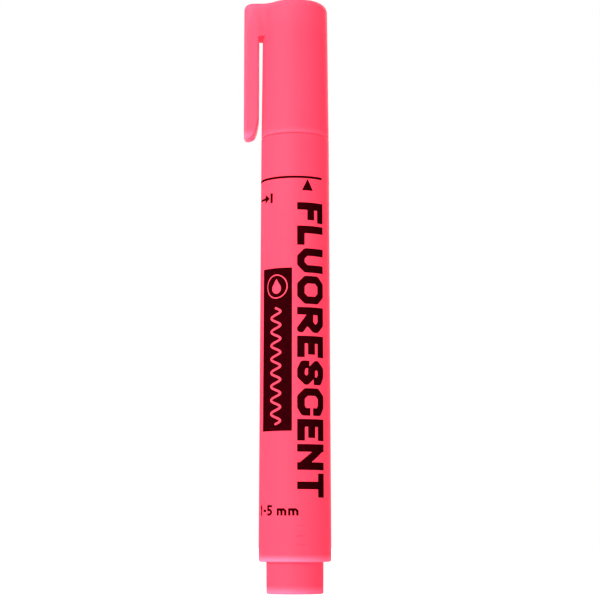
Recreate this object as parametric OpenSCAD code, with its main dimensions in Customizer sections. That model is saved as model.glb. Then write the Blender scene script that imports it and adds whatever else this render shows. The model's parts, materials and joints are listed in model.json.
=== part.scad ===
// Chisel-tip highlighter with a snap cap, a pocket clip and a pressed-in tail plug.
// The pen stands upright on its tail: +Z points to the cap and the clip points to -X.
// The origin is the centre of the tail plug's flat end.

/* [Overall] */
// Length of the closed pen
pen_len = 132.6; // [130:0.1:136]
// Height of the barrel's lower edge above the tail
tail_h = 6.9; // [5:0.1:8]
// Height of the seam between the barrel and the cap
seam_z = 101.4; // [100:0.1:103]
// Gap left at the seam when the cap is closed
seam_gap = 0.1; // [0.05:0.05:0.3]

/* [Barrel] */
// Outer radius at the barrel's tail end
barrel_tail_r = 8; // [7.7:0.05:8.3]
// Outer radius at the barrel's shoulder
barrel_seam_r = 7.62; // [7.5:0.01:7.7]
// Edge radius at the tail end
barrel_tail_edge = 0.5; // [0.3:0.05:0.8]
// Edge radius at the shoulder
barrel_seam_edge = 0.3; // [0.1:0.05:0.5]
// Radius of the bore that takes the tail plug
plug_bore_r = 6.5; // [6.45:0.01:6.6]
// Inner radius of the ink chamber just above the plug
chamber_tail_r = 6.42; // [6.4:0.01:6.45]
// Inner radius of the ink chamber at its front end
chamber_front_r = 6.2; // [6.15:0.01:6.3]
// Number of ribs that centre the ink reservoir
rib_count = 6; // [4:1:8]
// Width of one rib
rib_w = 0.7; // [0.5:0.1:1]
// Clearance between the ribs and the reservoir's film
rib_clear = 0.02; // [0.01:0.01:0.05]

/* [Neck and nose] */
// Radius of the neck under the cap
neck_r = 6.2; // [6.1:0.05:6.25]
// Length of the neck above the shoulder
neck_len = 8.8; // [8:0.1:9]
// Radius of the bead that the cap clicks over
bead_r = 6.32; // [6.25:0.01:6.34]
// Height of the bead's middle above the shoulder
bead_up = 4.6; // [4:0.1:5]
// Radius of the land that the cap seal closes on
land_r = 4.95; // [4.9:0.01:4.97]
// Length of the seal land
land_len = 3.2; // [2.8:0.1:3.5]
// Radius at the end of the nose
nose_end_r = 4; // [3.8:0.1:4.2]
// Length of the tapered nose above the land
nose_len = 5; // [4.5:0.1:5.5]
// Radius of each air groove beside the nib
air_groove_r = 0.35; // [0.25:0.05:0.4]

/* [Nib and ink] */
// Width of the chisel nib
nib_w = 4.8; // [4.4:0.1:5]
// Thickness of the nib
nib_t = 3.2; // [3:0.1:3.4]
// How far the nib stands out of the nose
nib_out = 5; // [4.5:0.1:5.2]
// Angle of the writing edge across the nib's width
nib_cut = 28; // [20:1:32]
// Width of the writing edge's flat
nib_edge_t = 1; // [0.8:0.1:1.4]
// Depth that the nib reaches into the reservoir
nib_dip = 8; // [6:0.5:10]
// Radius of the fibre reservoir
reservoir_r = 5.83; // [5.7:0.01:5.85]
// Thickness of the film round the reservoir
film_t = 0.12; // [0.1:0.01:0.15]

/* [Tail plug] */
// Radius of the visible spigot
spigot_r = 6.32; // [6.25:0.01:6.34]
// Edge radius at the spigot's end
spigot_edge = 0.35; // [0.25:0.05:0.7]
// Depth of the plug inside the barrel
plug_depth = 8.1; // [7.5:0.1:9]
// Wall thickness of the plug
plug_wall = 1.3; // [1.1:0.1:1.5]
// Thickness of the cross that holds the reservoir forward
cross_t = 0.9; // [0.8:0.1:1.2]
// Height that the cross stands above the plug's rim
cross_up = 1.8; // [1.5:0.1:2]

/* [Cap] */
// Outer radius at the cap's mouth
cap_mouth_r = 7.6; // [7.5:0.01:7.65]
// Outer radius near the closed end
cap_top_r = 7.3; // [7.25:0.05:7.45]
// Edge radius at the closed end
cap_top_edge = 1.9; // [1.2:0.1:2.2]
// Edge radius at the mouth
cap_mouth_edge = 0.3; // [0.1:0.05:0.5]
// Bore radius over the neck
cap_bore_r = 6.4; // [6.38:0.01:6.42]
// Bore radius above the neck
cap_inner_r = 6.05; // [6:0.01:6.1]
// Thickness of the closed end
cap_roof = 1.3; // [1.1:0.1:1.5]

/* [Clip] */
// Distance from the axis to the clip's outer face
clip_reach = 11.6; // [11.2:0.1:12]
// Thickness of the clip away from the cap
clip_t = 3.4; // [3:0.1:3.5]
// Width of the clip
clip_w = 6; // [5:0.1:6.5]
// Height of the clip's tip below the cap's top
clip_len = 31.5; // [29:0.1:32]
// Height of the solid root below the cap's top
root_h = 7.8; // [7:0.1:8.5]
// Clearance of the clip in its seat in the root
seat_clear = 0.05; // [0.03:0.01:0.08]
// Radius of the sweep that lifts the clip's inner face away from the cap
sweep_r = 12.6; // [10:0.2:16]
// Angle of that sweep
sweep_a = 24; // [15:1:26]
// Radius of the clip's tip
tip_r = 1.1; // [0.9:0.1:1.3]

/* [Cap seal] */
// Inner radius of the seal's mouth
seal_mouth_r = 5.02; // [5:0.01:5.05]
// Wall thickness of the seal
seal_wall = 0.6; // [0.5:0.05:0.7]
// Radius of the ring that holds the seal in the cap
seal_ring_r = 6.2; // [6.15:0.01:6.22]
// Clearance round that ring
seal_clear = 0.05; // [0.03:0.01:0.08]

/* [Hidden] */
$fn = 96;

pink = [1, 0.38, 0.5];
fibre = [1, 0.45, 0.6];

// Heights along the barrel
plug_top = tail_h + plug_depth;
reservoir_z = plug_top + cross_up;
bead_z = seam_z + bead_up;
land_z = seam_z + neck_len;
nose_z = land_z + land_len;
nose_top = nose_z + nose_len;
nib_tip = nose_top + nib_out;
chamber_wall = 1.15;
chamber_end = seam_z - 3.9;
reservoir_top = chamber_end + 0.5;
film_r = reservoir_r + film_t;
rib_in_r = film_r + rib_clear;
rib_z = plug_top + 0.2;
rib_end = 1;
throat_r = neck_r - chamber_wall;
throat_z = chamber_end + 2;
socket_z = land_z - 1.4;

// Beads and grooves that snap together
bead_half = 1;
bead_flat = 0.5;
plug_bead_z = tail_h + 4.4;
plug_bead_r = plug_bore_r + 0.1;

// Heights along the cap
cap_z = seam_z + seam_gap;
cap_step_z = land_z + 0.3;
cap_roof_z = pen_len - cap_roof;
groove_r = bead_r + 0.18;
seal_bottom = land_z + 0.6;
seal_top = cap_roof_z - 0.3;
seal_lip_h = 1.6;
seal_bore_r = seal_mouth_r + 0.1;
seal_r = seal_mouth_r + seal_wall;
seal_ring_z = cap_roof_z - 3.7;
seal_ring_h = 0.7;
ring_groove_r = seal_ring_r + seal_clear;
ring_groove_half = seal_ring_h / 2 + seal_clear;

// Clip places
clip_r = clip_t / 2;
clip_x = -clip_reach + clip_r;
root_z = pen_len - root_h;
hinge_z = root_z + 0.8;
tip_z = pen_len - clip_len;
clip_corner = 1.6;
root_in_x = -cap_inner_r - 0.35;

// Points along an arc about [x, y], from angle a to angle b
function arc(x, y, r, a, b, n = 6) =
    [for (i = [0:n]) [x + r * cos(a + (b - a) * i / n), y + r * sin(a + (b - a) * i / n)]];

// Profile points of a ring bead of height h on a wall of radius r, listed upwards
function bead(r, z, h) =
    [[r, z - bead_half], [r + h, z - bead_flat], [r + h, z + bead_flat], [r, z + bead_half]];

function reversed(list) = [for (i = [len(list) - 1:-1:0]) list[i]];

// Section of the nib: a bar with round sides
module nib_section() {
    square([nib_w - nib_t, nib_t], center = true);
    for (side = [-1, 1])
        translate([side * (nib_w - nib_t) / 2, 0]) circle(d = nib_t, $fn = 48);
}

// A body that stands on the XZ plane's outline and is centred on Y
module slab(width) {
    translate([0, width / 2, 0]) rotate([90, 0, 0]) linear_extrude(width) children();
}

module barrel() {
    edge = barrel_tail_edge;
    round_over = barrel_seam_edge;
    outside = concat(
        [[plug_bore_r + 0.2, tail_h]],
        arc(barrel_tail_r - edge, tail_h + edge, edge, -90, 0),
        arc(barrel_seam_r - round_over, seam_z - round_over, round_over, 0, 90),
        [[neck_r, seam_z]],
        bead(neck_r, bead_z, bead_r - neck_r),
        [
            [neck_r, land_z - 0.5], [neck_r - 0.4, land_z],
            [land_r, land_z], [land_r, nose_z],
            [land_r - 0.25, nose_z + 0.3], [nose_end_r, nose_top - 0.3],
            [nose_end_r - 0.3, nose_top]
        ]);
    inside = concat(
        [[plug_bore_r, tail_h + 0.2]],
        bead(plug_bore_r, plug_bead_z, plug_bead_r - plug_bore_r),
        [
            [plug_bore_r, plug_top], [chamber_tail_r, plug_top],
            [chamber_front_r, chamber_end], [throat_r, throat_z],
            [throat_r, socket_z - 1], [throat_r - 1, socket_z], [0, socket_z], [0, nose_top]
        ]);
    color(pink) {
        difference() {
            rotate_extrude() polygon(concat(outside, reversed(inside)));
            translate([0, 0, socket_z - 1]) linear_extrude(nose_top - socket_z + 2) nib_section();
            for (side = [-1, 1])
                translate([0, side * nib_t / 2, socket_z - 1])
                    cylinder(r = air_groove_r, h = nose_top - socket_z + 2, $fn = 24);
        }
        for (i = [0:rib_count - 1])
            rotate([0, 0, (i + 0.5) * 360 / rib_count])
                translate([rib_in_r, -rib_w / 2, rib_z])
                    cube([chamber_tail_r + 0.4 - rib_in_r, rib_w, chamber_end - rib_end - rib_z]);
    }
}

module rear_plug() {
    inner_r = spigot_r - plug_wall;
    profile = concat(
        [[0, 0]],
        arc(spigot_r - spigot_edge, spigot_edge, spigot_edge, -90, 0),
        [[spigot_r, tail_h], [plug_bore_r, tail_h]],
        bead(plug_bore_r, plug_bead_z, plug_bead_r - plug_bore_r),
        [
            [plug_bore_r, plug_top - 0.4], [plug_bore_r - 0.3, plug_top], [inner_r, plug_top],
            [inner_r, plug_wall + 0.6], [inner_r - 0.6, plug_wall], [0, plug_wall]
        ]);
    color(pink) {
        rotate_extrude() polygon(profile);
        for (turn = [0, 90])
            rotate([0, 0, turn])
                translate([-inner_r - 0.2, -cross_t / 2, plug_wall / 2])
                    cube([2 * inner_r + 0.4, cross_t, plug_top - 1 - plug_wall / 2]);
        for (turn = [0, 90])
            rotate([0, 0, turn])
                translate([1 - inner_r, -cross_t / 2, plug_wall])
                    cube([2 * inner_r - 2, cross_t, reservoir_z - plug_wall]);
    }
}

module ink_reservoir() {
    color(fibre)
        difference() {
            translate([0, 0, reservoir_z]) cylinder(r = reservoir_r, h = reservoir_top - reservoir_z);
            translate([0, 0, reservoir_top - nib_dip]) linear_extrude(nib_dip + 1) nib_section();
        }
}

module reservoir_film() {
    color("white")
        translate([0, 0, reservoir_z])
            difference() {
                cylinder(r = film_r, h = reservoir_top - reservoir_z);
                translate([0, 0, -1]) cylinder(r = reservoir_r, h = reservoir_top - reservoir_z + 2);
            }
}

module nib() {
    nib_z = reservoir_top - nib_dip;
    drop = nib_w * tan(nib_cut);
    // Seen along Y: the writing edge slopes down towards +X
    side_outline = [
        [-nib_w / 2 - 1, nib_z], [nib_w / 2 + 1, nib_z],
        [nib_w / 2 + 1, nib_tip - drop - tan(nib_cut)], [-nib_w / 2, nib_tip],
        [-nib_w / 2 - 1, nib_tip]
    ];
    // Seen along X: two flats close in on the writing edge
    flat_h = drop + 2.2;
    front_outline = [
        [-nib_t / 2 - 0.1, nib_z], [nib_t / 2 + 0.1, nib_z],
        [nib_t / 2 + 0.1, nib_tip - flat_h], [nib_edge_t / 2, nib_tip],
        [-nib_edge_t / 2, nib_tip], [-nib_t / 2 - 0.1, nib_tip - flat_h]
    ];
    color(fibre)
        intersection() {
            translate([0, 0, nib_z]) linear_extrude(nib_tip - nib_z) nib_section();
            slab(nib_w + 2) polygon(side_outline);
            rotate([0, 0, 90]) slab(nib_w + 4) polygon(front_outline);
        }
}

module cap_seal() {
    ring = seal_ring_h / 2;
    profile = [
        [seal_mouth_r + 0.25, seal_bottom], [seal_r - 0.1, seal_bottom],
        [seal_r, seal_bottom + 0.3],
        [seal_r, seal_ring_z - ring], [seal_ring_r, seal_ring_z - ring],
        [seal_ring_r, seal_ring_z + ring], [seal_r, seal_ring_z + ring],
        [seal_r, seal_top - 0.5], [seal_r - 0.5, seal_top], [0, seal_top],
        [0, seal_top - 1], [seal_bore_r - 0.4, seal_top - 1], [seal_bore_r, seal_top - 1.4],
        [seal_bore_r, seal_bottom + seal_lip_h + 0.3], [seal_mouth_r, seal_bottom + seal_lip_h],
        [seal_mouth_r, seal_bottom + 0.3]
    ];
    color("white") rotate_extrude() polygon(profile);
}

module cap() {
    edge = cap_top_edge;
    lip = cap_mouth_edge;
    outside = concat(
        [[cap_bore_r + 0.3, cap_z]],
        arc(cap_mouth_r - lip, cap_z + lip, lip, -90, 0),
        arc(cap_top_r - edge, pen_len - edge, edge, 0, 90, 10),
        [[0, pen_len]]);
    inside = concat(
        [[cap_bore_r, cap_z + 0.3]],
        bead(cap_bore_r, bead_z, groove_r - cap_bore_r),
        [
            [cap_bore_r, cap_step_z], [cap_inner_r, cap_step_z + 0.35],
            [cap_inner_r, seal_ring_z - ring_groove_half],
            [ring_groove_r, seal_ring_z - ring_groove_half],
            [ring_groove_r, seal_ring_z + ring_groove_half],
            [cap_inner_r, seal_ring_z + ring_groove_half],
            [cap_inner_r, cap_roof_z - 0.5], [cap_inner_r - 0.5, cap_roof_z], [0, cap_roof_z]
        ]);
    root_outline = concat(
        [[root_in_x, root_z], [clip_x + clip_r + seat_clear, root_z],
         [clip_x + clip_r + seat_clear, hinge_z], [-clip_reach, hinge_z]],
        arc(clip_corner - clip_reach, pen_len - clip_corner, clip_corner, 180, 90),
        [[-cap_top_r + edge, pen_len], [root_in_x, pen_len - edge]]);
    color(pink) {
        rotate_extrude() polygon(concat(outside, reversed(inside)));
        difference() {
            slab(clip_w) polygon(root_outline);
            translate([clip_x, 0, hinge_z]) rotate([90, 0, 0])
                cylinder(r = clip_r + seat_clear, h = clip_w + 2, center = true);
        }
    }
}

module clip() {
    inner_x = clip_x + clip_r;
    heel_r = tip_r * 0.75;
    sweep_x = inner_x - sweep_r;
    sweep_z = tip_z + tip_r + (sweep_r - tip_r) * sin(sweep_a);
    tip_x = sweep_x + (sweep_r - tip_r) * cos(sweep_a);
    // Side view: straight outer face, round tip, inner face swept away from the cap
    side_outline = concat(
        [[-clip_reach, hinge_z]],
        arc(heel_r - clip_reach, tip_z + heel_r, heel_r, 180, 270, 3),
        arc(tip_x, tip_z + tip_r, tip_r, -90, -sweep_a, 4),
        arc(sweep_x, sweep_z, sweep_r, -sweep_a, 0, 5),
        [[inner_x, hinge_z]]);
    // Front view: parallel sides and a rounded end
    corner = tip_r * 2;
    front_outline = concat(
        arc(corner - clip_w / 2, tip_z + corner, corner, 180, 270),
        arc(clip_w / 2 - corner, tip_z + corner, corner, -90, 0),
        [[clip_w / 2, hinge_z], [-clip_w / 2, hinge_z]]);
    color(pink) {
        intersection() {
            slab(clip_w) polygon(side_outline);
            translate([clip_x, 0, 0]) rotate([0, 0, 90]) slab(clip_t + 4) polygon(front_outline);
        }
        translate([clip_x, 0, hinge_z]) rotate([90, 0, 0])
            cylinder(r = clip_r, h = clip_w, center = true);
    }
}

barrel();
rear_plug();
ink_reservoir();
reservoir_film();
nib();
cap_seal();
cap();
clip();
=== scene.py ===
"""A fluorescent highlighter standing on its tail plug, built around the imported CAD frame.

Lengths inside the builders are in millimetres, and MM turns them into metres where a mesh is made.
Azimuth 0 faces the camera along -Y and grows towards +X.
"""

import json
import math

import bmesh
import bpy
import numpy as np
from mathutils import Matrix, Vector


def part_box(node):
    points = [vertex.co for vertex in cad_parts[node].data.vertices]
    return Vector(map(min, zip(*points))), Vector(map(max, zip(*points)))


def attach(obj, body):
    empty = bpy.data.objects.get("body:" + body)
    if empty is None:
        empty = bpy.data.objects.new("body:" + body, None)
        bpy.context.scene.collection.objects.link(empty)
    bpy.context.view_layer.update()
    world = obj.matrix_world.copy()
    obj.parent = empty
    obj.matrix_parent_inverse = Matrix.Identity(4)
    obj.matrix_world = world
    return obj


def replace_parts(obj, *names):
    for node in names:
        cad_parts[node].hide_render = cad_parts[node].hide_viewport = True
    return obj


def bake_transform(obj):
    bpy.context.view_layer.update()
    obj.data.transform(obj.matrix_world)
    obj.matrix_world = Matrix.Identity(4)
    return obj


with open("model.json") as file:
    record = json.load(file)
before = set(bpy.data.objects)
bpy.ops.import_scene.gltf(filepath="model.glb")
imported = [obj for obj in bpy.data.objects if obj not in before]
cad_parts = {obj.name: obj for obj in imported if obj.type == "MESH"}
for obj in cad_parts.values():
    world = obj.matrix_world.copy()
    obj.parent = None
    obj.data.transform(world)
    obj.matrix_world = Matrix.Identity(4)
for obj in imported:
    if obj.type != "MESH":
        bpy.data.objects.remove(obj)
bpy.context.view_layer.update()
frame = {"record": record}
MM = 0.001


def box_mm(node):
    """Lowest and highest corner of a CAD node, in millimetres."""
    low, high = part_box(node)
    return Vector(low) / MM, Vector(high) / MM


def mount_mm(name, key):
    """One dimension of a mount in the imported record."""
    return next(m for m in frame["record"]["mounts"] if m["name"] == name)["dims"][key]


BARREL_LOW, BARREL_HIGH = box_mm("barrel")
CAP_LOW, CAP_HIGH = box_mm("cap")
CLIP_LOW, CLIP_HIGH = box_mm("clip")
SEAL_LOW, SEAL_HIGH = box_mm("cap_seal")
PLUG_HIGH = box_mm("rear_plug")[1]
NIB_LOW, NIB_HIGH = box_mm("nib")
RESERVOIR_LOW, RESERVOIR_HIGH = box_mm("ink_reservoir")
FILM_HIGH = box_mm("reservoir_film")[1]

# Barrel
TAIL_R = BARREL_HIGH.x
TAIL_Z = BARREL_LOW.z
SHOULDER_R = 7.62
SHOULDER_Z = CAP_LOW.z - 0.1
NECK_R = 6.2
BEAD_R = 6.32
BEAD_Z = SHOULDER_Z + 4.6
LAND_Z = SHOULDER_Z + 8.8
LAND_R = 4.95
NOSE_Z = LAND_Z + 3.2
NOSE_TOP = BARREL_HIGH.z
NOSE_END_R = 4.0
PLUG_BORE_R = 6.5
PLUG_RIM = PLUG_HIGH.z - 1.8
CHAMBER_R = 6.3
CHAMBER_END = SHOULDER_Z - 3.9
THROAT_R = NECK_R - 1.15
SOCKET_Z = LAND_Z - 1.4
GROOVE_R = 0.35
RIBS = 6
MARK_HEIGHTS = (10.6, 12.53, 14.77)

# Cap and clip
MOUTH_R = 7.6
CAP_TOP_R = 7.3
CAP_TOP = CAP_HIGH.z
CAP_BORE_R = 6.4
CAP_INNER_R = 6.05
CAP_ROOF = CAP_TOP - 1.3
SEAL_RING_Z = CAP_ROOF - 3.7
TOP_EDGE = 1.9
ROOT_EDGE = 1.2
CLIP_OUT = -CLIP_LOW.x
CLIP_IN = 8.2
CLIP_HALF = CLIP_HIGH.y
CLIP_TIP = CLIP_LOW.z
SLOT_TOP = CAP_TOP - 7.8
SLOT_ROUND = 0.3

# Points round a turned part
AROUND = 240


# ---------------------------------------------------------------- mesh helpers


def arc(x, y, r, start, end, steps=6):
    """Points along an arc about (x, y), from angle start to angle end in degrees."""
    turns = np.radians(np.linspace(start, end, steps + 1))
    return [(x + r * math.cos(a), y + r * math.sin(a)) for a in turns]


def smooth(low, high, value):
    """0 below low, 1 above high and a smooth step between them."""
    t = min(1.0, max(0.0, (value - low) / (high - low)))
    return t * t * (3 - 2 * t)


def new_object(name, data):
    """An object in the scene, at the origin."""
    obj = bpy.data.objects.new(name, data)
    bpy.context.scene.collection.objects.link(obj)
    return obj


def finished(name, mesh, material, body, sharp_deg=38):
    """Makes a mesh a piece with smooth shading; it rides on the body, where one is given."""
    mesh.shade_smooth()
    mesh.set_sharp_from_angle(angle=math.radians(sharp_deg))
    mesh.materials.append(material)
    obj = new_object(name, mesh)
    if body:
        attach(obj, body)
    return obj


def mesh_in_metres(name, bm):
    """Turns a bmesh in millimetres into a mesh in metres."""
    bmesh.ops.scale(bm, vec=(MM, MM, MM), verts=bm.verts)
    bmesh.ops.recalc_face_normals(bm, faces=bm.faces)
    mesh = bpy.data.meshes.new(name)
    bm.to_mesh(mesh)
    bm.free()
    return mesh


def from_bmesh(name, bm, material, body):
    """Turns a bmesh in millimetres into a piece in metres."""
    return finished(name, mesh_in_metres(name, bm), material, body)


def add_ring(bm, points):
    """Adds a vertex at each point."""
    return [bm.verts.new(p) for p in points]


def stitch(bm, first, second):
    """Quads between two closed rings with the same number of points."""
    n = len(first)
    for i in range(n):
        j = (i + 1) % n
        bm.faces.new((first[i], first[j], second[j], second[i]))


def close_ring(bm, ring, z):
    """Closes a ring with triangles to a point on the axis."""
    pole = bm.verts.new((0, 0, z))
    n = len(ring)
    for i in range(n):
        bm.faces.new((ring[i], ring[(i + 1) % n], pole))


def lathe(bm, profile):
    """Rings for a profile of (radius, z); a radius may be a function of the angle."""
    angles = [2 * math.pi * i / AROUND for i in range(AROUND)]
    rings = []
    for r, z in profile:
        radii = [r(a) if callable(r) else r for a in angles]
        points = [(q * math.cos(a), q * math.sin(a), z) for q, a in zip(radii, angles)]
        rings.append(add_ring(bm, points))
    for low, high in zip(rings, rings[1:]):
        stitch(bm, low, high)
    return rings


def turned_tube(bm, profile):
    """A turned solid with an opening along the axis, whose profile joins up with its own start."""
    rings = lathe(bm, profile)
    stitch(bm, rings[-1], rings[0])


def turned_solid(bm, profile):
    """A turned solid whose profile starts and ends on the axis, with the end points left out."""
    rings = lathe(bm, profile)
    close_ring(bm, rings[0], profile[0][1])
    close_ring(bm, rings[-1], profile[-1][1])


def add_wall(bm, half_x, half_y, low, high, turn_deg):
    """A plain straight wall inside a part, turned about the axis."""
    c, s = math.cos(math.radians(turn_deg)), math.sin(math.radians(turn_deg))
    corners = [(half_x, half_y), (-half_x, half_y), (-half_x, -half_y), (half_x, -half_y)]
    spun = [(x * c - y * s, x * s + y * c) for x, y in corners]
    bottom, top = (add_ring(bm, [(x, y, z) for x, y in spun]) for z in (low, high))
    stitch(bm, bottom, top)
    bm.faces.new(bottom)
    bm.faces.new(top)


# ---------------------------------------------------------------- materials


REST_PLACE = "rest_place"


def keep_rest_place(mesh):
    """Stores where each point is at rest, for a material that bends with its piece."""
    places = mesh.attributes.new(REST_PLACE, "FLOAT_VECTOR", "POINT")
    places.data.foreach_set("vector", [c for vertex in mesh.vertices for c in vertex.co])


def fill(node, **values):
    """Sets a node's own sockets by name, with _ for a space."""
    for name, value in values.items():
        node.inputs[name.replace("_", " ")].default_value = value


class Shader:
    """A procedural material: its node tree, its Principled shader and short ways to add to them.

    A material that bends takes its places from the mesh at rest, so that it stays on the piece.
    """

    def __init__(self, name, bends=False):
        self.material = bpy.data.materials.new(name)
        self.material.use_nodes = True
        self.tree = self.material.node_tree
        self.main = self.tree.nodes["Principled BSDF"]
        if bends:
            place = self.tree.nodes.new("ShaderNodeAttribute")
            place.attribute_name = REST_PLACE
            self.coords = place.outputs["Vector"]
        else:
            self.coords = self.tree.nodes.new("ShaderNodeTexCoord").outputs["Object"]

    def link(self, output, socket):
        """Joins an output to a socket."""
        self.tree.links.new(output, socket)

    def set(self, **values):
        """Sets uniform values of the Principled shader."""
        fill(self.main, **values)

    def noise(self, scale, detail=2.0, stretch=(1, 1, 1)):
        """Noise in object space; scale is in features per metre."""
        mapping = self.tree.nodes.new("ShaderNodeMapping")
        fill(mapping, Scale=stretch)
        self.link(self.coords, mapping.inputs["Vector"])
        texture = self.tree.nodes.new("ShaderNodeTexNoise")
        fill(texture, Scale=scale, Detail=detail)
        self.link(mapping.outputs["Vector"], texture.inputs["Vector"])
        return texture.outputs["Fac"]

    def colour(self, value, low, high):
        """Base colour from low to high over the middle of a noise's range."""
        node = self.tree.nodes.new("ShaderNodeValToRGB")
        for element, place, rgb in zip(node.color_ramp.elements, (0.35, 0.65), (low, high)):
            element.position = place
            element.color = (*rgb, 1)
        self.link(value, node.inputs["Fac"])
        self.link(node.outputs["Color"], self.main.inputs["Base Color"])

    def remap(self, value, kind="LINEAR", **ends):
        """Maps a value from one range to another; the ends that aren't given are 0 and 1."""
        node = self.tree.nodes.new("ShaderNodeMapRange")
        node.interpolation_type = kind
        fill(node, **ends)
        self.link(value, node.inputs["Value"])
        return node.outputs["Result"]

    def painted_edge_glow(self, painted_glows, rgb):
        """Mixes a lighter colour in as a painted highlight on a free edge, for each glow (axis, edge,
        reach, strength).

        It goes from nothing at edge + reach to strength at the edge, in millimetres along the axis.
        """
        split = self.tree.nodes.new("ShaderNodeSeparateXYZ")
        self.link(self.coords, split.inputs["Vector"])
        for axis, edge, reach, strength in painted_glows:
            low, high = sorted((edge, edge + reach))
            at_low, at_high = (strength, 0.0) if reach > 0 else (0.0, strength)
            ends = dict(From_Min=low * MM, From_Max=high * MM, To_Min=at_low, To_Max=at_high)
            share = self.remap(split.outputs[axis], "SMOOTHSTEP", **ends)
            mix = self.tree.nodes.new("ShaderNodeMix")
            mix.data_type = "RGBA"
            factor, under, over = (mix.inputs[i] for i in (0, 6, 7))
            over.default_value = (*rgb, 1)
            self.link(share, factor)
            self.link(self.main.inputs["Base Color"].links[0].from_socket, under)
            self.link(mix.outputs[2], self.main.inputs["Base Color"])

    def roughness(self, value, low, high):
        """Roughness from low to high as the value goes from 0 to 1."""
        self.link(self.remap(value, To_Min=low, To_Max=high), self.main.inputs["Roughness"])

    def bump(self, *layers):
        """Bump layers, each (height, distance in millimetres, strength), one on another."""
        normal = None
        for height, distance, strength in layers:
            node = self.tree.nodes.new("ShaderNodeBump")
            fill(node, Distance=distance * MM, Strength=strength)
            self.link(height, node.inputs["Height"])
            if normal:
                self.link(normal, node.inputs["Normal"])
            normal = node.outputs["Normal"]
        self.link(normal, self.main.inputs["Normal"])


def fluorescent_plastic(name, painted_glows, bends=False):
    """Satin moulded plastic that light sinks into; each glow is a painted highlight that lightens the
    colour near a free edge along an axis.
    """
    s = Shader(name, bends)
    flow = s.noise(70, 2.0, (1, 1, 0.3))
    grain = s.noise(5200)
    s.colour(flow, (0.94, 0.052, 0.09), (0.96, 0.058, 0.1))
    s.painted_edge_glow(painted_glows, (0.96, 0.24, 0.4))
    s.roughness(grain, 0.52, 0.66)
    s.bump((s.noise(420, 1.0, (1, 1, 0.2)), 0.02, 0.3), (grain, 0.004, 0.5))
    s.set(Subsurface_Weight=0.4, Subsurface_Radius=(1.0, 0.5, 0.6), Subsurface_Scale=0.0012)
    # The steady emission is a painted glow that stands in for the plastic's fluorescence, lit or not.
    s.set(Specular_IOR_Level=0.1, Emission_Color=(1, 0.044, 0.12, 1), Emission_Strength=0.45)
    return s.material


def natural_plastic():
    """Uncoloured, milky plastic with pink light in it."""
    s = Shader("natural_plastic")
    cloud = s.noise(160)
    grain = s.noise(4200)
    s.colour(cloud, (0.9, 0.82, 0.82), (0.94, 0.88, 0.87))
    s.roughness(grain, 0.3, 0.45)
    s.bump((grain, 0.004, 0.5))
    s.set(Subsurface_Weight=0.4, Subsurface_Radius=(1.0, 0.9, 0.9), Subsurface_Scale=0.0015)
    return s.material


def print_ink():
    """Near-black maroon screen print, a little redder where the ink is thin."""
    s = Shader("print_ink")
    cover = s.noise(900, 4.0)
    s.colour(cover, (0.021, 0.0003, 0.0012), (0.029, 0.0005, 0.0018))
    s.roughness(cover, 0.7, 0.8)
    s.bump((s.noise(6000), 0.003, 0.4))
    s.set(Specular_IOR_Level=0.0)
    return s.material


def felt(name, light, deep, along):
    """Bonded fibre full of ink: fine threads along the pen, rough all over."""
    s = Shader(name)
    threads = s.noise(7000, 3.0, (1, 1, along))
    clumps = s.noise(900, 3.0, (1, 1, 0.3))
    s.colour(threads, deep, light)
    s.roughness(clumps, 0.75, 0.95)
    s.bump((threads, 0.05, 0.7), (clumps, 0.03, 0.4))
    # The steady emission is a painted glow that stands in for the ink's fluorescence, lit or not.
    s.set(Sheen_Weight=0.3, Emission_Color=(1, 0.04, 0.1, 1), Emission_Strength=0.12)
    return s.material


def clear_film():
    """Thin clear wrap with faint stretch lines."""
    s = Shader("clear_film")
    lines = s.noise(1500, 2.0, (1, 1, 0.05))
    s.colour(lines, (0.9, 0.72, 0.78), (0.97, 0.88, 0.9))
    s.roughness(lines, 0.12, 0.25)
    s.bump((lines, 0.01, 0.4))
    s.set(Alpha=0.5)
    return s.material


def seen_and_lighting(tree, socket, seen, lighting):
    """Sets a strength: one value where it is seen directly, another where it lights the pen."""
    path = tree.nodes.new("ShaderNodeLightPath")
    strength = tree.nodes.new("ShaderNodeMath")
    strength.operation = "MULTIPLY_ADD"
    strength.inputs[1].default_value = seen - lighting
    strength.inputs[2].default_value = lighting
    tree.links.new(path.outputs["Is Camera Ray"], strength.inputs[0])
    tree.links.new(strength.outputs["Value"], socket)


def paper_floor():
    """White studio paper."""
    s = Shader("paper_floor")
    shade = s.noise(3)
    s.colour(shade, (0.94, 0.94, 0.94), (0.96, 0.96, 0.96))
    s.roughness(shade, 0.8, 0.9)
    s.bump((s.noise(900), 0.02, 0.2))
    s.set(Specular_IOR_Level=0.1, Emission_Color=(1, 1, 1, 1))
    seen_and_lighting(s.tree, s.main.inputs["Emission Strength"], 0.85, 0.0)
    return s.material


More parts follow.
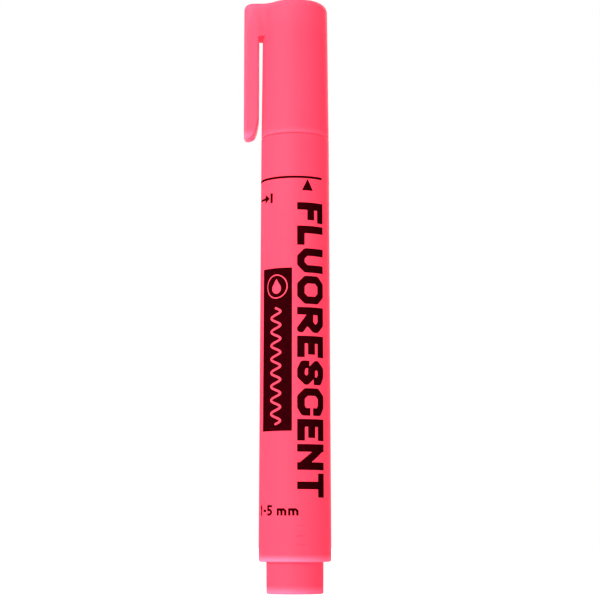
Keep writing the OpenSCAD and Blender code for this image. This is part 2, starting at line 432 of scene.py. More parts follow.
# Painted highlights: a lighter colour near the free edges stands in for the light that thin edges let
# through; (axis, edge, reach, strength) of each glow.
TOP_PAINTED_GLOWS = [("Z", CAP_TOP, -2, 0.14), ("Z", CAP_TOP, -9, 0.06)]
BARREL_PLASTIC = fluorescent_plastic("barrel_plastic", [("Z", TAIL_Z, 1.8, 0.8)])
PLUG_PLASTIC = fluorescent_plastic("plug_plastic", [("Z", 0, 2, 0.67)])
CAP_PLASTIC = fluorescent_plastic("cap_plastic", [("Z", CAP_LOW.z, 1.6, 0.17)] + TOP_PAINTED_GLOWS)
CLIP_PAINTED_GLOWS = [("X", -CLIP_IN - 1, 1.6, 0.1), ("Z", CLIP_TIP, 2.2, 0.8)]
CLIP_PLASTIC = fluorescent_plastic("clip_plastic", CLIP_PAINTED_GLOWS + TOP_PAINTED_GLOWS, bends=True)
MILKY = natural_plastic()
PRINT_INK = print_ink()
NIB_FELT = felt("nib_felt", (0.9, 0.07, 0.17), (0.72, 0.025, 0.09), 0.06)
FIBRE = felt("reservoir_fibre", (0.95, 0.2, 0.32), (0.85, 0.12, 0.22), 0.02)
FILM = clear_film()


# ---------------------------------------------------------------- barrel


def outer_radius(z):
    """Radius of the barrel's tapered outside at height z."""
    share = (z - TAIL_Z) / (SHOULDER_Z - TAIL_Z)
    return TAIL_R + (SHOULDER_R - TAIL_R) * share


def nib_outline(theta):
    """Distance from the axis to the nib's side in direction theta: a flat bar with round edges."""
    half_w, half_t = NIB_HIGH.x, NIB_HIGH.y
    c, s = abs(math.cos(theta)), abs(math.sin(theta))
    flat = half_w - half_t
    if half_t * c <= flat * s:
        return half_t / s
    return flat * c + math.sqrt(half_t**2 - (flat * s) ** 2)


def nib_socket(theta):
    """Nib socket: the nib's outline with an air groove on each flat side."""
    r = nib_outline(theta)
    s = max(0.2, abs(math.sin(theta)))
    x = NIB_HIGH.y * math.cos(theta) / s
    if abs(x) < GROOVE_R:
        r = max(r, (NIB_HIGH.y + math.sqrt(GROOVE_R**2 - x * x)) / s)
    return r


def ribbed(theta):
    """Chamber wall with ribs that centre the reservoir."""
    pitch, gap, rib_height = 360 / RIBS, 0.02, 0.33
    away = abs(math.degrees(theta) % pitch - pitch / 2)
    return FILM_HIGH.x + gap + rib_height * smooth(3.0, 4.5, away)


def bead(r, height, z, half=1.0, steps=8):
    """Rounded ring bead on a wall of radius r, listed upwards."""
    return [
        (r + height * (0.5 + 0.5 * math.cos(math.pi * k)), z + half * k)
        for k in np.linspace(-1, 1, steps + 1)
    ]


def mould_mark(z):
    """Rows of the barrel's profile for a short shallow groove, a little to the right of the front."""
    middle, half_len, depth = math.radians(-80.6), math.radians(6.3), 0.2
    half_height, side = 0.14, 0.04
    low, high = z - half_height, z + half_height

    def cut(height):
        def radius(a):
            away = abs(math.remainder(a - middle, 2 * math.pi))
            return outer_radius(height) - (depth if away < half_len else 0)

        return radius

    floor = [(cut(low), low + side), (cut(high), high - side)]
    return [(outer_radius(low), low), *floor, (outer_radius(high), high)]


def make_barrel():
    """The barrel's wall: up the outside and the neck, over the nose and down the ribbed chamber."""
    edge, round_over = 0.5, 0.32
    tail_arc_r = outer_radius(TAIL_Z + edge)
    outside = (
        [(PLUG_BORE_R + 0.06, TAIL_Z + 0.01)]
        + arc(tail_arc_r - edge, TAIL_Z + edge, edge, -90, 0, 8)
        + [row for z in MARK_HEIGHTS for row in mould_mark(z)]
        + [(outer_radius(z), z) for z in np.linspace(18, SHOULDER_Z - 3, 12)]
        + arc(SHOULDER_R - round_over, SHOULDER_Z - round_over, round_over, 0, 90)
    )
    neck = (
        arc(NECK_R + 0.2, SHOULDER_Z + 0.2, 0.2, 270, 180, 3)
        + bead(NECK_R, BEAD_R - NECK_R, BEAD_Z)
        + arc(NECK_R - 0.4, LAND_Z - 0.4, 0.4, 0, 90, 5)
    )
    nose = (
        arc(LAND_R + 0.15, LAND_Z + 0.15, 0.15, 270, 180, 3)
        + arc(LAND_R - 0.3, NOSE_Z, 0.3, 0, 70, 4)
        + arc(NOSE_END_R - 0.35, NOSE_TOP - 0.35, 0.35, 10, 90)
        + [(lambda a: nib_socket(a) + 0.12, NOSE_TOP), (nib_socket, NOSE_TOP - 0.12)]
    )
    inside = (
        [(nib_socket, SOCKET_Z), (THROAT_R - 1, SOCKET_Z), (THROAT_R, SOCKET_Z - 1)]
        + [(THROAT_R, CHAMBER_END + 2), (CHAMBER_R - 0.05, CHAMBER_END)]
        + [(ribbed, CHAMBER_END - 1), (ribbed, PLUG_RIM + 0.2)]
        + [(PLUG_BORE_R, PLUG_RIM), (PLUG_BORE_R, TAIL_Z + 0.3)]
    )
    bm = bmesh.new()
    turned_tube(bm, outside + neck + nose + inside)
    shell = from_bmesh("barrel_shell", bm, BARREL_PLASTIC, "barrel")
    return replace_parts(shell, "barrel")


def on_barrel(azimuth, z, lift):
    """Point on the barrel's outside at an azimuth and height, lifted off the surface."""
    r = outer_radius(z) + lift
    return r * math.sin(azimuth), -r * math.cos(azimuth), z


def make_plug():
    """Pressed-in cup with a cross of two walls inside."""
    r = mount_mm("rear_spigot", "r_mm")
    edge, wall, half_rib = 0.35, 1.3, 0.45
    inner = r - wall
    profile = (
        [(1.1, 0.1), (1.25, 0.0)]
        + arc(r - 0.04 - edge, edge, edge, -90, 0)
        + [(r - 0.02, 3.5), (r, TAIL_Z), (PLUG_BORE_R, TAIL_Z + 0.1)]
        + [(PLUG_BORE_R, PLUG_RIM - 0.4), (PLUG_BORE_R - 0.3, PLUG_RIM), (inner, PLUG_RIM)]
        + arc(inner - 0.6, wall + 0.6, 0.6, 0, -90, 4)
    )
    bm = bmesh.new()
    turned_solid(bm, profile)
    for turn in (0, 90):
        add_wall(bm, inner + 0.1, half_rib, wall / 2, PLUG_RIM - 1, turn)
        add_wall(bm, inner - 1, half_rib, wall / 2, PLUG_HIGH.z, turn)
    plug = from_bmesh("tail_plug", bm, PLUG_PLASTIC, "barrel")
    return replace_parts(plug, "rear_plug")


# ---------------------------------------------------------------- ink parts


def make_reservoir():
    """Fibre rod with a pocket in its upper end, where the nib's foot is pressed in."""
    r = FILM_HIGH.x - 0.12
    profile = (
        arc(r - 0.15, RESERVOIR_LOW.z + 0.15, 0.15, -90, 0, 3)
        + [(r, z) for z in np.linspace(RESERVOIR_LOW.z + 8, RESERVOIR_HIGH.z - 8, 6)]
        + arc(r - 0.15, RESERVOIR_HIGH.z - 0.15, 0.15, 0, 90, 3)
        + [(nib_outline, RESERVOIR_HIGH.z), (nib_outline, NIB_LOW.z)]
    )
    bm = bmesh.new()
    turned_solid(bm, profile)
    fibre = from_bmesh("reservoir_fibre", bm, FIBRE, "barrel")
    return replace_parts(fibre, "ink_reservoir")


def film_outside(theta):
    """The film's outer radius, a little less along the line of its heat seal."""
    seal_deg, seal_depth = 200, 0.05
    away = abs(math.degrees(theta) - seal_deg)
    return FILM_HIGH.x - seal_depth * (1 - smooth(2.0, 4.0, away))


def make_film():
    """Thin film tube round the reservoir."""
    wall = 0.115
    rows = np.linspace(RESERVOIR_LOW.z, RESERVOIR_HIGH.z, 8)
    profile = [(film_outside, z) for z in rows]
    profile += [(FILM_HIGH.x - wall, z) for z in reversed(rows)]
    bm = bmesh.new()
    turned_tube(bm, profile)
    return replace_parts(from_bmesh("reservoir_wrap", bm, FILM, "barrel"), "reservoir_film")


def nib_top(x, y):
    """Height of the chisel end over a point: a slanted writing edge between two flats."""
    slant_deg, half_edge, flat_drop, blend = 28, 0.5, 4.75, 0.22
    edge = NIB_HIGH.z - (x - NIB_LOW.x) * math.tan(math.radians(slant_deg))
    flats = NIB_HIGH.z - (abs(y) - half_edge) * flat_drop / (NIB_HIGH.y - half_edge)
    mix = max(0.0, min(1.0, 0.5 + (flats - edge) / (2 * blend)))
    return flats + (edge - flats) * mix - blend * mix * (1 - mix)


def make_nib():
    """Chisel nib: a flat bar of felt whose rounded rim runs round its slanted end."""
    bm = bmesh.new()
    around, rim_r = 144, 0.16
    turns = [2 * math.pi * i / around for i in range(around)]

    def ring(share, z_of):
        """A ring at a share of the nib's outline, with its height from each point."""
        spokes = [(share * nib_outline(a), a) for a in turns]
        points = [(r * math.cos(a), r * math.sin(a)) for r, a in spokes]
        return add_ring(bm, [(x, y, z_of(x, y)) for x, y in points])

    def side(k):
        """Heights that are a share k of the way from the nib's foot to a little below its rim."""
        return lambda x, y: NIB_LOW.z + (nib_top(x, y) - 0.5 - NIB_LOW.z) * k

    rings = [ring(0.96, lambda x, y: NIB_LOW.z), ring(1, lambda x, y: NIB_LOW.z + 0.1)]
    rings += [ring(1, side(k)) for k in (0.5, 0.8, 1)]
    for a in np.radians((15, 40, 65, 90)):
        drop = rim_r * (1 - math.sin(a))
        share = 1 - rim_r * (1 - math.cos(a)) / NIB_HIGH.x
        rings.append(ring(share, lambda x, y: nib_top(x, y) - drop))
    rings += [ring(share, nib_top) for share in np.linspace(0.88, 0.04, 18)]
    for low, high in zip(rings, rings[1:]):
        stitch(bm, low, high)
    close_ring(bm, rings[0], NIB_LOW.z)
    close_ring(bm, rings[-1], nib_top(0, 0))
    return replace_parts(from_bmesh("nib_felt", bm, NIB_FELT, "barrel"), "nib")


# ---------------------------------------------------------------- cap


def cap_radius(z):
    """Radius of the cap's tapered side at height z, below the rounded top edge."""
    share = (z - CAP_LOW.z) / (CAP_TOP - TOP_EDGE - CAP_LOW.z)
    return MOUTH_R + (CAP_TOP_R - MOUTH_R) * min(1.0, share)


def make_cap():
    """The cap's wall: a gate mark on top, the rounded edge, the side, the mouth and the bore."""
    lip, sink, groove_half = 0.3, 0.01, 0.4
    groove_r = SEAL_HIGH.x + 0.05
    groove_low, groove_high = SEAL_RING_Z - groove_half, SEAL_RING_Z + groove_half
    edge = arc(CAP_TOP_R - TOP_EDGE, CAP_TOP - TOP_EDGE, TOP_EDGE, 90, 0, 14)
    outside = (
        [(1.0, CAP_TOP - 0.12), (1.15, CAP_TOP - sink - 0.02), (1.3, CAP_TOP - sink)]
        + [(r, z - sink) for r, z in edge]
        + [(cap_radius(z), z) for z in np.linspace(CAP_TOP - TOP_EDGE - 2, CAP_LOW.z + 2, 9)]
        + arc(MOUTH_R - lip, CAP_LOW.z + lip, lip, 0, -90)
    )
    inside = (
        [(CAP_BORE_R + 0.25, CAP_LOW.z + 0.03), (CAP_BORE_R, CAP_LOW.z + 0.3)]
        + bead(CAP_BORE_R, 0.1, BEAD_Z)
        + [(CAP_BORE_R, LAND_Z + 0.3), (CAP_INNER_R, LAND_Z + 0.65)]
        + [(CAP_INNER_R, groove_low), (groove_r, groove_low)]
        + [(groove_r, groove_high), (CAP_INNER_R, groove_high)]
        + arc(CAP_INNER_R - 0.5, CAP_ROOF - 0.5, 0.5, 0, 90, 4)
    )
    bm = bmesh.new()
    turned_solid(bm, outside + inside)
    shell = from_bmesh("cap_shell", bm, CAP_PLASTIC, "cap")
    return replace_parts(shell, "cap")


def make_liner():
    """Inner seal: a soft sleeve that closes on the nose, held by its ring."""
    mouth_r, outer_r, ring_r = 5.02, 5.62, SEAL_HIGH.x
    half, flat = 0.35, 0.25
    bottom, top = SEAL_LOW.z, SEAL_HIGH.z
    ring = [(outer_r, half), (ring_r - 0.08, half), (ring_r, flat)]
    ring += [(r, -rise) for r, rise in reversed(ring)]
    profile = (
        arc(outer_r - 0.4, top - 0.4, 0.4, 90, 0, 4)
        + [(r, SEAL_RING_Z + rise) for r, rise in ring]
        + arc(outer_r - 0.25, bottom + 0.25, 0.25, 0, -90, 4)
        + arc(mouth_r + 0.25, bottom + 0.25, 0.25, 270, 180, 4)
        + [(mouth_r, bottom + 1.6), (mouth_r + 0.1, bottom + 1.9), (mouth_r + 0.1, top - 1.4)]
        + arc(mouth_r - 0.3, top - 1.4, 0.4, 0, 90, 4)
    )
    bm = bmesh.new()
    turned_solid(bm, profile)
    liner = from_bmesh("cap_liner", bm, MILKY, "cap_seal")
    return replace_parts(liner, "cap_seal")


# ---------------------------------------------------------------- clip


# Steps in each stretch of a ring of the clip
FILLET_STEPS = 10
CORNER_STEPS = 6
FACE_STEPS = 8
SIDE_STEPS = 4

# The ramp cut on each side of the tip starts on a line that leans by RAMP_LEAN, x to z.
RAMP_X = -10.65
RAMP_LEAN = 1.1
RAMP_DEPTH = 2.2
RAMP_RIDGE = 0.2


def clip_outside(half, reach, corner):
    """The clip's outline from its +Y side over the slightly crowned outer face to its -Y side."""
    crown = 0.06
    x = corner - reach + crown
    upper = arc(x, half - corner, corner, 90, 180, CORNER_STEPS)
    lower = arc(x, corner - half, corner, 180, 270, CORNER_STEPS)
    flat = half - corner
    ys = np.linspace(flat, -flat, FACE_STEPS + 1)[1:-1]
    return upper + [(crown * (y / flat) ** 2 - reach, y) for y in ys] + lower


def between(start, end, turn_x):
    """Points along the clip's flat side, one of them at turn_x or as near it as the ends allow."""
    (x0, y), x1 = start, end[0]
    low, high = sorted((x0, x1))
    gap = 0.15 * (high - low)
    turn = min(max(turn_x, low + gap), high - gap)
    xs = [*np.linspace(x0, turn, SIDE_STEPS)[1:], *np.linspace(turn, x1, SIDE_STEPS)[1:-1]]
    return [(x, y) for x in xs]


def rounded_in(r, past):
    """How far an edge of radius r has turned in, this far past the start of its rounding."""
    past = min(r, max(0.0, past))
    return r - math.sqrt(r**2 - past**2)


def top_inset(z, edge):
    """How far a top edge of this radius has rounded in at height z."""
    return rounded_in(edge, z - (CAP_TOP - edge))


def tip_inset(z, edge):
    """How far a lower edge of this radius at the clip's tip has rounded in at height z."""
    return rounded_in(edge, CLIP_TIP + edge - z)


def root_ring(z):
    """Clip root at height z: it flares into the cap's wall and closes inside it."""
    inset = top_inset(z, ROOT_EDGE)
    sunk, deep, cover = 0.012, 0.8, 0.6
    rise = smooth(SLOT_TOP + 1, CAP_TOP - ROOT_EDGE, z)
    corner = max(0.1, 0.7 + 1.5 * rise - inset)
    fillet = 0.6 + 3.4 * rise + inset
    r = cap_radius(z) - top_inset(z, TOP_EDGE) - sunk
    half = CLIP_HALF - inset
    cx = -math.sqrt((r + fillet) ** 2 - (half + fillet) ** 2)
    lean = math.degrees(math.atan2(half + fillet, cx))
    flare = arc(cx, half + fillet, fillet, lean - 180, -90, FILLET_STEPS)
    inner = arc(0, 0, r - deep, 360 - lean, lean, FACE_STEPS)[1:-1]
    outside = clip_outside(half, CLIP_OUT - inset, corner)
    flare += between(flare[-1], outside[0], flare[-1][0])
    mirror = [(x, -y) for x, y in reversed(flare)]
    shown = [(x, y, z) for x, y in flare + outside + mirror]
    return shown + [(x, y, min(z, CAP_TOP - cover)) for x, y in inner]


def arm_ring(z, half, inner, outer):
    """Free part of the clip at height z: a rounded bar."""
    thickness = outer - inner
    corner = min(0.7, 0.45 * thickness, 0.8 * half)
    inner_corner = min(0.35, 0.4 * thickness)
    flat = half - inner_corner
    side = arc(-inner - inner_corner, flat, inner_corner, 0, 90, FILLET_STEPS)
    outside = clip_outside(half, outer, corner)
    side += between(side[-1], outside[0], ramp_line(z))
    mirror = [(x, -y) for x, y in reversed(side)]
    inside = [(-inner, y) for y in np.linspace(-flat, flat, FACE_STEPS + 1)[1:-1]]
    return [(x, ramp_side(x, y, z, half), z) for x, y in side + outside + mirror + inside]


def ramp_line(z):
    """Where the ramp cut on each side of the tip starts at height z."""
    return RAMP_LEAN * (z - CLIP_TIP) + RAMP_X


def ramp_side(x, y, z, half):
    """A point's y at (x, z), moved in where the tip's ramp has cut the side."""
    beyond = max(0.0, (x - ramp_line(z)) / math.hypot(1, RAMP_LEAN))
    limit = max(RAMP_RIDGE, half - RAMP_DEPTH * beyond)
    return math.copysign(min(abs(y), limit), y)


def clip_section(z):
    """Half width, inner and outer reach of the free clip, which sweeps out and rounds off at its tip."""
    tip_r, heel_r, front_r, sweep_r, sweep_deg = 1.1, 0.825, 1.9, 12.6, 24
    lean = math.radians(sweep_deg)
    sweep_z = CLIP_TIP + tip_r + (sweep_r - tip_r) * math.sin(lean)
    tip_x = CLIP_IN + sweep_r - (sweep_r - tip_r) * math.cos(lean)
    if z < sweep_z - sweep_r * math.sin(lean):
        inner = tip_x - tip_r + tip_inset(z, tip_r)
    else:
        inner = CLIP_IN + rounded_in(sweep_r, sweep_z - z)
    return CLIP_HALF - tip_inset(z, front_r), inner, CLIP_OUT - tip_inset(z, heel_r)


def root_rings():
    """Rings of the clip's root, from its rounded top down to the slot."""
    edge_z = CAP_TOP - ROOT_EDGE
    heights = [edge_z + ROOT_EDGE * math.sin(a) for a in np.radians(np.linspace(90, 0, 13))]
    heights += list(np.linspace(edge_z, SLOT_TOP, 14))[1:]
    return [root_ring(z) for z in heights]


def slot_rings():
    """Rings where the slot's ceiling rounds over into the clip's inner face."""
    rings = []
    for a in np.radians((25, 45, 65, 90)):
        z = SLOT_TOP - SLOT_ROUND * (1 - math.cos(a))
        inner = CLIP_IN - SLOT_ROUND * (1 - math.sin(a))
        rings.append(arm_ring(z, CLIP_HALF, inner, CLIP_OUT))
    return rings


def arm_rings():
    """Rings of the free clip down to its tip, closer together towards the end."""
    depth = SLOT_TOP - SLOT_ROUND - CLIP_TIP
    shares = [*np.linspace(0, 0.72, 18)[1:], *np.linspace(0.72, 0.94, 12)[1:]]
    drops = [depth * share for share in shares]
    left = depth - drops[-1]
    drops += [depth - left * (1 - math.sin(a)) for a in np.radians(np.linspace(0, 90, 14))[1:]]
    heights = [SLOT_TOP - SLOT_ROUND - drop for drop in drops]
    return [arm_ring(z, *clip_section(z)) for z in heights]


def make_clip():
    """The clip with its root, one moulding with the cap, built at rest; the real clip bends just below
    the root.
    """
    bm = bmesh.new()
    rows = [add_ring(bm, ring) for ring in root_rings() + slot_rings() + arm_rings()]
    for high, low in zip(rows, rows[1:]):
        stitch(bm, high, low)
    cover_ends(bm, rows)
    clip = from_bmesh("clip_arm", bm, CLIP_PLASTIC, None)
    keep_rest_place(clip.data)
    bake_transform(clip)
    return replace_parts(clip, "clip")


def cover_ends(bm, rows):
    """Closes the top with rungs across the clip, which dive into the cap, and the tip with one face."""
    top = rows[0]
    side = len(top) - (FACE_STEPS - 1)
    middle = side // 2
    for i in range(middle - 1):
        bm.faces.new((top[i], top[i + 1], top[side - 2 - i], top[side - 1 - i]))
    bm.faces.new((top[middle - 1], top[middle], top[middle + 1]))
    bm.faces.new([top[0], top[side - 1]] + top[side:])
    bm.faces.new(rows[-1])


# ---------------------------------------------------------------- print


# The print is drawn flat: u runs round the barrel at PRINT_R, 0 at the front, and v up its height.
PRINT_R = 7.7
INK_RISE = 0.03

# A distance beyond any mark, and the least share of a grid step between two points of an outline
FAR = 1e3
LEAST_SHARE = 0.06


def box_field(u, v, u0, u1, v0, v1, r=0.0):
    """Signed distance to a rectangle with corner radius r."""
    du = np.abs(u - (u0 + u1) / 2) - (u1 - u0) / 2 + r
    dv = np.abs(v - (v0 + v1) / 2) - (v1 - v0) / 2 + r
    return np.hypot(np.maximum(du, 0), np.maximum(dv, 0)) + np.minimum(np.maximum(du, dv), 0) - r


def segment_field(u, v, a, b, half, before, after):
    """Signed distance to a straight stroke with square ends that reach past a and b."""
    along = np.subtract(b, a)
    length = math.hypot(*along)
    tu, tv = along / length
    s = (u - a[0]) * tu + (v - a[1]) * tv
    t = (v - a[1]) * tu - (u - a[0]) * tv
    return box_field(s, t, -before, length + after, -half, half)


def stroke_field(u, v, points, half, square=True):
    """Signed distance to a stroke along points, with round joints and square or round ends."""
    field = np.full(np.shape(u), FAR)
    last = len(points) - 2
    for i, (a, b) in enumerate(zip(points, points[1:])):
        before = half if square and i == 0 else 0
        after = half if square and i == last else 0
        field = np.minimum(field, segment_field(u, v, a, b, half, before, after))
    joints = points[1:-1] if square else points
    for p in joints:
        field = np.minimum(field, np.hypot(u - p[0], v - p[1]) - half)
    return field


def cut_corners(points, cut):
    """Replaces each inner corner of a polyline with a short slanted edge."""
    out = [points[0]]
    for a, p, b in zip(points, points[1:], points[2:]):
        for q in (a, b):
            way = np.subtract(q, p)
            out.append(tuple(np.add(p, way * min(0.5, cut / math.hypot(*way)))))
    return out + [points[-1]]


# Each letter is a list of strokes on a unit square; letter_field slants the strokes' corners.
LETTERS = {
    "C": [[(1, 0.74), (1, 1), (0, 1), (0, 0), (1, 0), (1, 0.26)]],
    "E": [[(1, 1), (0, 1)], [(0, 1), (0, 0)], [(0, 0), (1, 0)], [(0, 0.5), (0.8, 0.5)]],
    "F": [[(1, 1), (0, 1)], [(0, 1), (0, 0)], [(0, 0.48), (0.8, 0.48)]],
    "L": [[(0, 1), (0, 0)], [(0, 0), (1, 0)]],
    "N": [[(0, 0), (0, 1)], [(1, 0), (1, 1)], [(0, 1), (1, 0)]],
    "O": [[(0.5, 1), (0, 1), (0, 0), (1, 0), (1, 1), (0.5, 1)]],
    "R": [[(0, 0), (0, 1)], [(0, 1), (1, 1), (1, 0.42), (0, 0.42)], [(0.5, 0.3), (1, 0)]],
    "S": [[(1, 0.78), (1, 1), (0, 1), (0, 0.5), (1, 0.5), (1, 0), (0, 0), (0, 0.22)]],
    "T": [[(0, 1), (1, 1)], [(0.5, 1), (0.5, 0)]],
    "U": [[(0, 1), (0, 0), (1, 0), (1, 1)]],
    "1": [[(0, 0.75), (0.5, 1)], [(0.5, 1), (0.5, 0)]],
    "-": [[(0.1, 0.45), (0.9, 0.45)]],
    "5": [[(1, 1), (0, 1)], [(0, 1), (0, 0.55)], [(0, 0.55), (1, 0.55), (1, 0), (0, 0)]],
    "m": [[(0, 0), (0, 0.6)], [(0, 0.6), (0.5, 0.6), (0.5, 0)], [(0.5, 0.6), (1, 0.6), (1, 0)]],
}


def letter_field(x, y, letter, width, height, half, cut):
    """Signed distance to one letter whose box has its lower left corner at the origin."""
    field = np.full(np.shape(x), FAR)
    room_x, room_y = width - 2 * half, height - 2 * half
    for points in LETTERS[letter]:
        placed = cut_corners([(half + a * room_x, half + b * room_y) for a, b in points], cut)
        field = np.minimum(field, stroke_field(x, y, placed, half))
    return np.maximum(field, box_field(x, y, 0, width, 0, height))


def word_field(x, y, word, widths, gap, height, half, cut):
    """Signed distance to a row of letters that starts at the origin."""
    field = np.full(np.shape(x), FAR)
    start = 0.0
    for letter in word:
        width = widths[letter]
        near = (x > start - gap) & (x < start + width + gap)
        if letter != " ":
            found = letter_field(x[near] - start, y[near], letter, width, height, half, cut)
            field[near] = np.minimum(field[near], found)
        start += width + gap
    return field


WORD = "FLUORESCENT"
WORD_WIDTHS = dict(F=4.5, L=4.3, U=5.4, O=6.2, R=5.6, E=4.7, S=5.3, C=6.0, N=5.6, T=5.2)
WORD_TOP, WORD_U = 85.7, 0.45


def word_print(u, v):
    """The big word reads down the barrel, with the letters' tops towards +X."""
    size = dict(gap=0.74, height=6.5, half=0.83, cut=1.15)
    return word_field(WORD_TOP - v, u - WORD_U, WORD, WORD_WIDTHS, **size)


def ring_print(u, v):
    """Thin line almost all the way round, with the arrowhead that points at it."""
    line = box_field(u, v, -36.4, 6.75, 91.15, 91.65)
    middle, half_w, low, high = 2.83, 1.3, 88.4, 91.0
    slope = half_w / (high - low)
    side = (np.abs(u - middle) - (high - v) * slope) / math.hypot(1, slope)
    return np.minimum(line, np.maximum(side, low - v))


def drop_field(u, v, cu, cv, r):
    """Signed distance to an ink drop: a disc with a pointed top."""
    disc = np.hypot(u - cu, v - cv) - r
    lean = math.radians(32)
    top = cv + r / math.sin(lean)
    cone = np.abs(u - cu) * math.cos(lean) - (top - v) * math.sin(lean)
    return np.minimum(disc, np.maximum(cone, cv + r * math.sin(lean) - v))


def panel_print(u, v):
    """Dark panel with an ink drop in a ring and a pen's wavy line left open."""
    panel = box_field(u, v, -8.45, -0.66, 35.2, 71.1, 0.12)
    cu, cv, ring_r, half_line = -4.3, 67.0, 2.55, 0.14
    ring = np.abs(np.hypot(u - cu, v - cv) - ring_r) - half_line
    drop = drop_field(u, v, cu, cv - 0.45, 1.15)
    middle, top, sway, pitch = -4.45, 62.2, 1.2, 3.0
    turns = np.linspace(0, 8.5, 120)
    wave = [(middle + sway * math.sin(2 * math.pi * t), top - pitch * t) for t in turns]
    line = stroke_field(u, v, wave, 0.25, square=False)
    return np.maximum(panel, -np.minimum(np.minimum(ring, drop), line))


def size_print(u, v):
    """Line width marking, read round the barrel."""
    widths = {"1": 0.9, "-": 1.1, "5": 1.4, " ": 0.5, "m": 2.2}
    size = dict(gap=0.35, height=2.3, half=0.25, cut=0.35)
    left, low = -9.3, 16.9
    return word_field(u - left, v - low, "1-5 mm", widths, **size)


def close_print(u, v):
    """Small mark for putting the cap on: an arrow towards a bar."""
    shaft = box_field(u, v, -10.7, -7.4, 86.7, 87.2)
    middle, base, tip, slope = 86.95, -7.9, -6.3, 0.66
    head = np.maximum(np.abs(v - middle) - (tip - u) * slope, base - u)
    bar = box_field(u, v, -6.1, -5.4, 85.85, 88.05)
    return np.minimum(np.minimum(shaft, head), bar)


class InkFilm:
    """Thin closed film of ink where field(u, v) is negative, cut out by marching squares."""

    def __init__(self, field, u_span, v_span, step):
        self.us = np.arange(u_span[0] - step, u_span[1] + 2 * step, step)
        self.vs = np.arange(v_span[0] - step, v_span[1] + 2 * step, step)
        self.field = field(*np.meshgrid(self.us, self.vs, indexing="ij"))
        self.inside = self.field < 0
        self.points = []
        self.faces = []
        self.places = {}
        ink = self.inside
        busy = ink[:-1, :-1] | ink[1:, :-1] | ink[1:, 1:] | ink[:-1, 1:]
        for i, j in zip(*np.nonzero(busy)):
            self.add_square(i, j)

    def vertex(self, here, there):
        """Top vertex at a grid point, or where the outline crosses on the way to the next one."""
        if (here, there) not in self.places:
            share = 0.0
            if here != there:
                crossing = self.field[here] / (self.field[here] - self.field[there])
                share = min(1 - LEAST_SHARE, max(LEAST_SHARE, crossing))
            u = self.us[here[0]] + (self.us[there[0]] - self.us[here[0]]) * share
            v = self.vs[here[1]] + (self.vs[there[1]] - self.vs[here[1]]) * share
            self.places[here, there] = len(self.points)
            for lift in (INK_RISE, -INK_RISE):
                self.points.append([MM * q for q in on_barrel(u / PRINT_R, v, lift)])
        return self.places[here, there]

    def add_square(self, i, j):
        """Faces of one grid square: its inked part above and below, and the film's edge."""
        corners = [(i, j), (i + 1, j), (i + 1, j + 1), (i, j + 1)]
        outline, crossing = [], []
        for here, after in zip(corners, corners[1:] + corners[:1]):
            if self.inside[here]:
                outline.append(self.vertex(here, here))
                crossing.append(False)
            if self.inside[here] != self.inside[after]:
                outline.append(self.vertex(*sorted((here, after))))
                crossing.append(True)
        self.faces.append(outline)
        self.faces.append([p + 1 for p in reversed(outline)])
        for k in range(len(outline)):
            m = (k + 1) % len(outline)
            if crossing[k] and crossing[m]:
                self.faces.append([outline[m], outline[k], outline[k] + 1, outline[m] + 1])


def ink_patch(name, field, u_span, v_span, step):
    """One printed mark on the barrel."""
    film = InkFilm(field, u_span, v_span, step)
    mesh = bpy.data.meshes.new(name)
    mesh.from_pydata(film.points, [], film.faces)
    return finished(name, mesh, PRINT_INK, "barrel")


def make_print():
    """Each patch has a field, the spans of u and v that it lies in, and its grid's step."""
    ink_patch("print_word", word_print, (0.3, 7.1), (20.4, 85.9), 0.12)
    ink_patch("print_ring_line", ring_print, (-36.5, 6.9), (88.3, 91.8), 0.12)
    ink_patch("print_panel", panel_print, (-8.6, -0.5), (35.0, 71.3), 0.12)
    ink_patch("print_line_width", size_print, (-9.5, 1.4), (16.7, 19.2), 0.08)
    ink_patch("print_close_mark", close_print, (-10.9, -5.2), (85.7, 88.2), 0.1)


# ---------------------------------------------------------------- stage


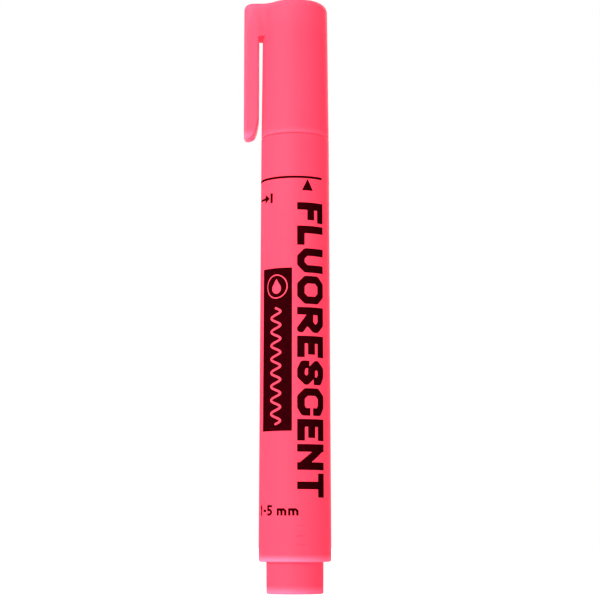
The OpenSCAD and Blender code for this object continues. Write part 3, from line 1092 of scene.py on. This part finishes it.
def make_camera():
    """Long lens a little above the floor, looking slightly up and to the right."""
    camera = new_object("camera", bpy.data.cameras.new("camera"))
    camera.data.sensor_width = 36
    camera.data.lens = 108.2
    distance, height, pitch, pan = 0.4, 0.0125, 0.1302, 0.00276
    level = math.cos(pitch)
    forward = Vector((math.sin(pan) * level, math.cos(pan) * level, math.sin(pitch)))
    camera.location = (0, -distance, height)
    camera.rotation_euler = forward.to_track_quat("-Z", "Y").to_euler()
    bpy.context.scene.camera = camera


def make_floor():
    """Round sheet of paper a hair below the plug, so that the two don't share a plane."""
    bm = bmesh.new()
    radius, around, gap = 1500, 64, 0.02
    turns = [2 * math.pi * i / around for i in range(around)]
    rings = []
    for r in (radius, radius / 3, radius / 12):
        rings.append(add_ring(bm, [(r * math.cos(a), r * math.sin(a), 0) for a in turns]))
    for outer, inner in zip(rings, rings[1:]):
        stitch(bm, outer, inner)
    close_ring(bm, rings[-1], 0)
    floor = new_object("floor", mesh_in_metres("floor", bm))
    floor.data.materials.append(paper_floor())
    floor.location.z = -gap * MM


def add_sun(name, energy, azimuth_deg, height_deg):
    """Broad, soft sun; azimuth 0 is in front of the print, and negative is to its left."""
    sun = new_object(name, bpy.data.lights.new(name, "SUN"))
    sun.data.energy = energy
    sun.data.angle = math.radians(40)
    azimuth, height = math.radians(azimuth_deg), math.radians(height_deg)
    level = math.cos(height)
    towards = Vector((math.sin(azimuth) * level, -math.cos(azimuth) * level, math.sin(height)))
    sun.rotation_euler = towards.to_track_quat("Z", "Y").to_euler()


def make_light():
    """White room with a soft key from the left front and a weaker light behind the pen."""
    scene = bpy.context.scene
    scene.view_settings.view_transform = "Standard"
    scene.world = bpy.data.worlds.new("studio")
    scene.world.use_nodes = True
    background = scene.world.node_tree.nodes["Background"]
    background.inputs["Color"].default_value = (1, 1, 1, 1)
    seen_and_lighting(scene.world.node_tree, background.inputs["Strength"], 1.0, 0.26)
    add_sun("key", 4.7, -32, 10)
    add_sun("back_light", 2.0, 165, 25)


make_camera()
make_barrel()
make_plug()
make_reservoir()
make_film()
make_nib()
make_liner()
make_cap()
make_clip()
make_print()
make_floor()
make_light()
